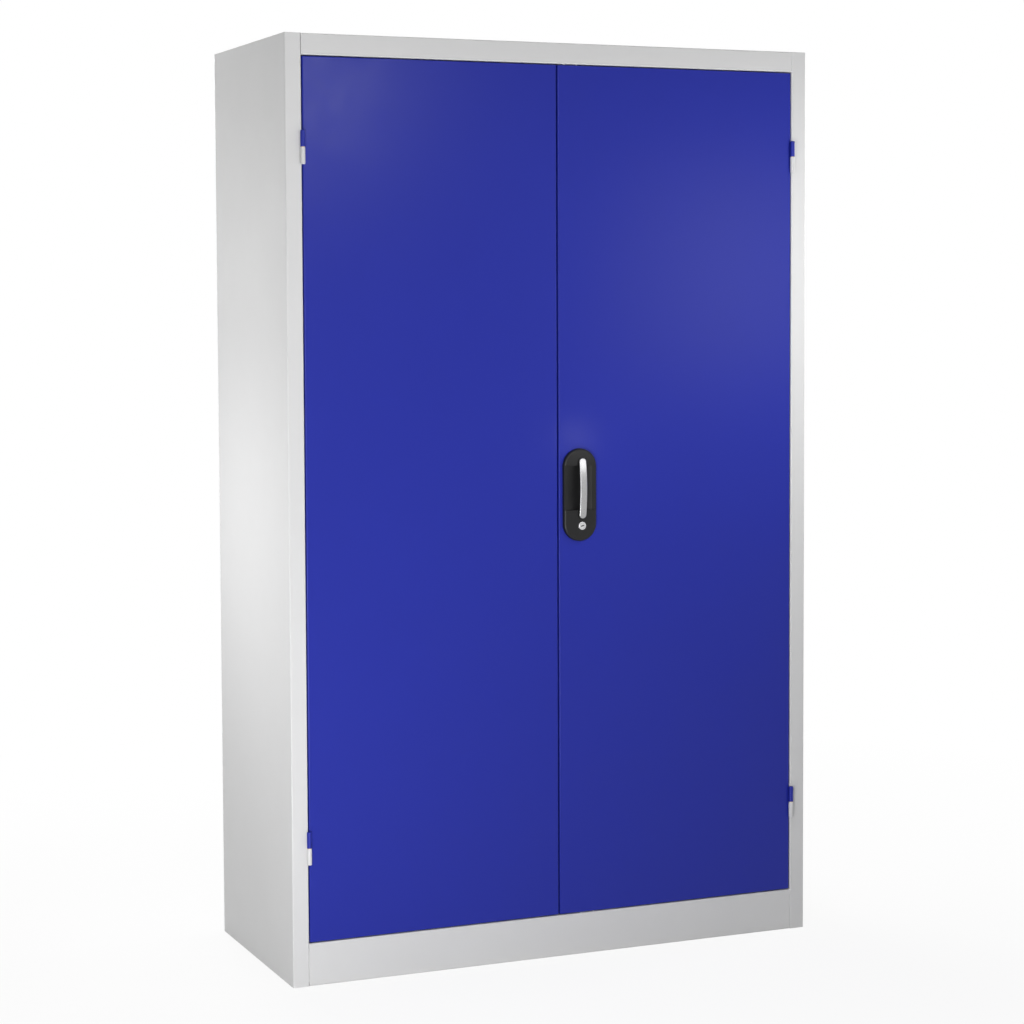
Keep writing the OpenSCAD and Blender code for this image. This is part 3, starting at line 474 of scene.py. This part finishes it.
handleLever = {
    "x": 0.051,
    "pivot": 1.0655,
    "long": 0.1135,  # between the middles of the round ends
    "width": 0.016,
    "thick": 0.0045,
    "bow": 0.006,
    "front": -0.26048,  # at the middle of the bow
    "easing": 0.0019,
    "steps": 5,
    "turns": 48,  # sides of the two round ends together
    "stretches": 46,  # what the cuts across the lever divide it into, so that it can bend
    "smoothAngle": 40,
}


def modelHandleLever(look):
    x, top, thick, turns = look["x"], look["pivot"], look["thick"], look["turns"]
    bpy.ops.object.select_all(action="DESELECT")
    bpy.ops.mesh.primitive_cylinder_add(
        vertices=turns, radius=look["width"] / 2, depth=thick,
        location=(x, look["front"] + thick / 2, top), rotation=(math.pi / 2, math.pi / turns, 0))
    piece = bpy.context.object
    bpy.ops.object.transform_apply(location=True, rotation=True, scale=True)
    easeEdges(piece, lambda a, b: abs(a.y - b.y) < hair, look["easing"], look["steps"])

    # the disc's lower half goes down, and cuts across the bar let it take the bow
    pickPoints(piece, lambda p: p.z < top)
    bpy.ops.transform.translate(value=(0, 0, -look["long"]))
    lowest, span = top - look["long"] - look["width"] / 2, look["long"] + look["width"]
    for k in range(1, look["stretches"]):
        level = lowest + span * k / look["stretches"]
        bpy.ops.mesh.select_all(action="SELECT")
        bpy.ops.mesh.bisect(plane_co=(x, look["front"], level), plane_no=(0, 0, 1))
    bpy.ops.object.mode_set(mode="OBJECT")
    radius = span * span / 8 / look["bow"] + look["bow"] / 2
    for point in piece.data.vertices:  # an arc that leans back towards both ends
        away = point.co.z - (lowest + span / 2)
        point.co.y += radius - math.sqrt(radius * radius - away * away)
    settle(piece, "handleLever", "handle", "lever_silver", "handle_lever", look["smoothAngle"])


keyPlug = {
    "x": 0.051,
    "z": 0.9285,
    "face": -0.2519,
    "long": 0.0172,
    "radius": 0.0059,
    "easing": 0.0004,
    "steps": 2,
    "turns": 64,
    "neck": (0.0029, 0.0026),  # radius and length behind the plug
    "slot": (0.0082, 0.0023, 0.009),  # long, wide, deep
    "slotEasing": (0.4, 4),  # share of the width, and steps
    "tilt": 15,  # degrees
    # painted shade: the near-black colour that the keyway's walls get in place of the shade inside the slot
    "keywayShadeColour": (0.012, 0.012, 0.013),
    "keywayShadeBlur": (0.0002, 0.0005),  # where the painted shade starts under the face, and over what depth
    "smoothAngle": 30,
}


def keyCutter(look):
    slotLong, slotWide, slotDeep = look["slot"]
    share, steps = look["slotEasing"]
    bpy.ops.object.select_all(action="DESELECT")
    bpy.ops.mesh.primitive_cube_add(
        size=1, location=(look["x"], look["face"], look["z"]),
        rotation=(0, -math.radians(look["tilt"]), 0), scale=(slotLong, slotDeep * 2, slotWide))
    cutter = bpy.context.object
    bpy.ops.object.transform_apply(location=False, rotation=False, scale=True)
    easeEdges(cutter, lambda a, b: abs(a.y - b.y) > slotDeep, slotWide * share, steps)
    return cutter


def plugFinish(look):
    start, blur = look["keywayShadeBlur"]
    face, end = look["face"] + start, look["face"] + look["slot"][2]
    # painted shade inside the keyway: where it starts and ends, and its colour
    keyway = {
        "paintedShadeStarts": (face, face + blur),
        "paintedShadeEnds": (end, end + blur),
        "colour": look["keywayShadeColour"],
    }
    return workedMetal("plugChromeWithPaintedShade", chrome, metalSurface, keyway)


def modelKeyPlug(look):
    face, long, radius = look["face"], look["long"], look["radius"]
    neckRadius, neckLong = look["neck"]
    bpy.ops.object.select_all(action="DESELECT")
    bpy.ops.mesh.primitive_cylinder_add(
        vertices=look["turns"], radius=radius, depth=long,
        location=(look["x"], face + long / 2, look["z"]), rotation=(math.pi / 2, 0, 0))
    piece = bpy.context.object
    bpy.ops.object.transform_apply(location=True, rotation=True, scale=True)
    pickFaces(piece, lambda polygon: polygon.normal.y > 0.9)  # the back end
    bpy.ops.mesh.inset(thickness=radius - neckRadius)
    bpy.ops.mesh.extrude_region_move(TRANSFORM_OT_translate={"value": (0, neckLong, 0)})
    bpy.ops.object.mode_set(mode="OBJECT")
    easeEdges(piece, lambda a, b: max(a.y, b.y) < face + hair, look["easing"], look["steps"])
    cutter = keyCutter(look)
    applyModifier(piece, "BOOLEAN", operation="DIFFERENCE", object=cutter, solver="EXACT")
    bpy.data.objects.remove(cutter, do_unlink=True)
    settle(piece, "keyPlug", "key_plug", "lock_chrome", "lock_plug", look["smoothAngle"], plugFinish(look))


modelHandleShell(handleShell)
modelHandleLever(handleLever)
modelKeyPlug(keyPlug)
print("handle pieces modelled")


studio = {
    "floorSize": 60,
    "floorColour": (0.74, 0.74, 0.74),
    "floorShine": (0.90, 1.0),  # share of the plain white that the camera sees in the floor, near and far
    "floorFade": (1.1, 2.6),  # distances of near and far from the cabinet's middle
    "skyColour": (1.0, 1.0, 1.0),
    "skyStrength": 0.20,
}

# two panels close to the left wall and the right door, two soft boxes at the front, two small boxes for the
# gleam in the left door's top corner and on the lever, and three boxes for the top, the right side and the
# back; a lamp that isn't mirrored lights the cabinet without a gleam
lamps = {
    "wallPanel": {
        "place": (-1.30, 0.12, 0.98), "aim": (-0.6, 0.02, 1.05),
        "size": 0.5, "power": 4.7, "mirrored": False,
    },
    "doorPanel": {
        "place": (0.77, -0.90, 1.48), "aim": (0.45, -0.24, 1.4),
        "size": 0.5, "power": 4.2, "mirrored": False,
    },
    "lowBox": {
        "place": (-1.21, -1.75, 0.25), "aim": (-0.35, -0.24, 0.5),
        "size": 0.7, "power": 20.5, "mirrored": True,
    },
    "frontBox": {
        "place": (-1.11, -2.20, 1.34), "aim": (-0.2, -0.24, 1.2),
        "size": 0.8, "power": 15.8, "mirrored": True,
    },
    "cornerBox": {
        "place": (-0.09, -1.66, 1.98), "aim": (-0.56, -0.24, 1.85),
        "size": 0.3, "power": 3.2, "mirrored": True,
    },
    "leverBox": {
        "place": (0.13, -0.43, 1.105), "aim": (0.051, -0.26, 1.05),
        "size": 0.06, "power": 0.034, "mirrored": True,
    },
    "topBox": {
        "place": (0.0, 0.9, 4.4), "aim": (0.0, 0.3, 1.95),
        "size": 1.2, "power": 60, "mirrored": True,
    },
    "rightBox": {
        "place": (3.2, 0.4, 1.8), "aim": (0.6, 0.0, 1.0),
        "size": 1.0, "power": 36, "mirrored": True,
    },
    "backBox": {
        "place": (-0.3, 3.4, 2.0), "aim": (0.0, 0.26, 1.0),
        "size": 1.2, "power": 75, "mirrored": True,
    },
}


def cameraWhite(tree):
    # what the camera, glass and reflections see is white, and everything else sees the plain colour
    rays = addNode(tree, "ShaderNodeLightPath", -800, 300).outputs
    direct = addMath(tree, "MAXIMUM", -600, 300, rays["Is Camera Ray"], rays["Is Transmission Ray"])
    return addMath(tree, "MAXIMUM", -400, 300, direct, rays["Is Glossy Ray"])


def whiteWithDistance(tree, setup):
    # away from the cabinet the floor turns to the backdrop's plain white, so no horizon shows
    coords = addNode(tree, "ShaderNodeTexCoord", -1000, 600)
    away = addNode(tree, "ShaderNodeVectorMath", -800, 600, operation="LENGTH")
    tree.links.new(coords.outputs["Object"], away.inputs[0])
    spread = addRange(tree, away.outputs["Value"], -600, 600, *setup["floorShine"], *setup["floorFade"])
    return addMath(tree, "MULTIPLY", -200, 300, cameraWhite(tree), spread.outputs["Result"])


def joinShaders(tree, factor, plain, white, outputKind):
    mix = addNode(tree, "ShaderNodeMixShader", 250, 0)
    tree.links.new(factor, mix.inputs["Fac"])
    tree.links.new(plain.outputs[0], mix.inputs[1])
    tree.links.new(white.outputs[0], mix.inputs[2])
    output = addNode(tree, outputKind, 500, 0)
    tree.links.new(mix.outputs["Shader"], output.inputs["Surface"])


def layFloor(setup):
    bpy.ops.mesh.primitive_plane_add(size=setup["floorSize"], location=(0, 0, 0))
    floor = bpy.context.object
    floor.name = "studioFloor"
    material, tree = newMaterial("paleFloor")
    plain = addNode(tree, "ShaderNodeBsdfDiffuse", -200, 0)
    plain.inputs["Color"].default_value = (*setup["floorColour"], 1)
    white = addNode(tree, "ShaderNodeEmission", -200, -150)
    joinShaders(tree, whiteWithDistance(tree, setup), plain, white, "ShaderNodeOutputMaterial")
    floor.data.materials.append(material)


def lightSky(setup):
    world = bpy.data.worlds.new("studioSky")
    bpy.context.scene.world = world
    world.use_nodes = True
    tree = world.node_tree
    tree.nodes.clear()
    plain = addNode(tree, "ShaderNodeBackground", 0, 0, Strength=setup["skyStrength"])
    plain.inputs["Color"].default_value = (*setup["skyColour"], 1)
    white = addNode(tree, "ShaderNodeBackground", 0, -150)
    white.inputs["Color"].default_value = (1, 1, 1, 1)
    joinShaders(tree, cameraWhite(tree), plain, white, "ShaderNodeOutputWorld")


def hangLamp(name, lamp):
    data = bpy.data.lights.new(name, "AREA")
    data.shape = "SQUARE"
    data.size = lamp["size"]
    data.energy = lamp["power"]
    light = bpy.data.objects.new(name, data)
    bpy.context.scene.collection.objects.link(light)
    light.location = lamp["place"]
    light.visible_camera = False
    light.visible_glossy = lamp["mirrored"]
    towards = Vector(lamp["aim"]) - Vector(lamp["place"])
    light.rotation_euler = towards.to_track_quat("-Z", "Y").to_euler()


layFloor(studio)
lightSky(studio)
for lampName, lamp in lamps.items():
    hangLamp(lampName, lamp)
bpy.context.scene.view_settings.view_transform = "Standard"
print("studio lit")
